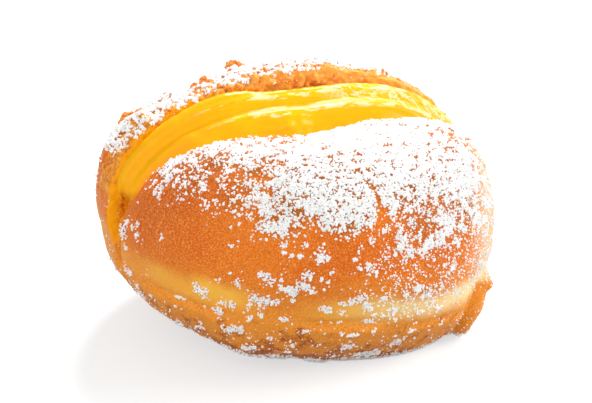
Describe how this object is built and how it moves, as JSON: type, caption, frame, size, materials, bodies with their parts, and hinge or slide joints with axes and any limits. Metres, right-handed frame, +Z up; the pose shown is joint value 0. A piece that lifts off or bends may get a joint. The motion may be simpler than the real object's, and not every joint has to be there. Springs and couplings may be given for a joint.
{
  "type": "custard filled doughnut",
  "caption": "Ball-shaped fried dough bun, slit across its top and filled with ridged egg custard, dusted with icing sugar.",
  "frame": {"origin": "the middle of the doughnut's box seen from above, on the surface that it rests on", "axes": "+Z up, +X along the doughnut's width towards the side that it leans on, +Y to its back; the slit runs across the top almost along X"},
  "size_m": [0.0996, 0.091, 0.0662],
  "materials": {
    "fried_dough": "matt fried crust, orange brown with a pale golden belt low on its sides",
    "egg_custard": "moist and softly glossy, with piped ridges",
    "icing_sugar": "dry white powder in small clumps"
  },
  "bodies": {
    "root": {"dough": "fried_dough", "custard": "egg_custard"}
  },
  "joints": []
}
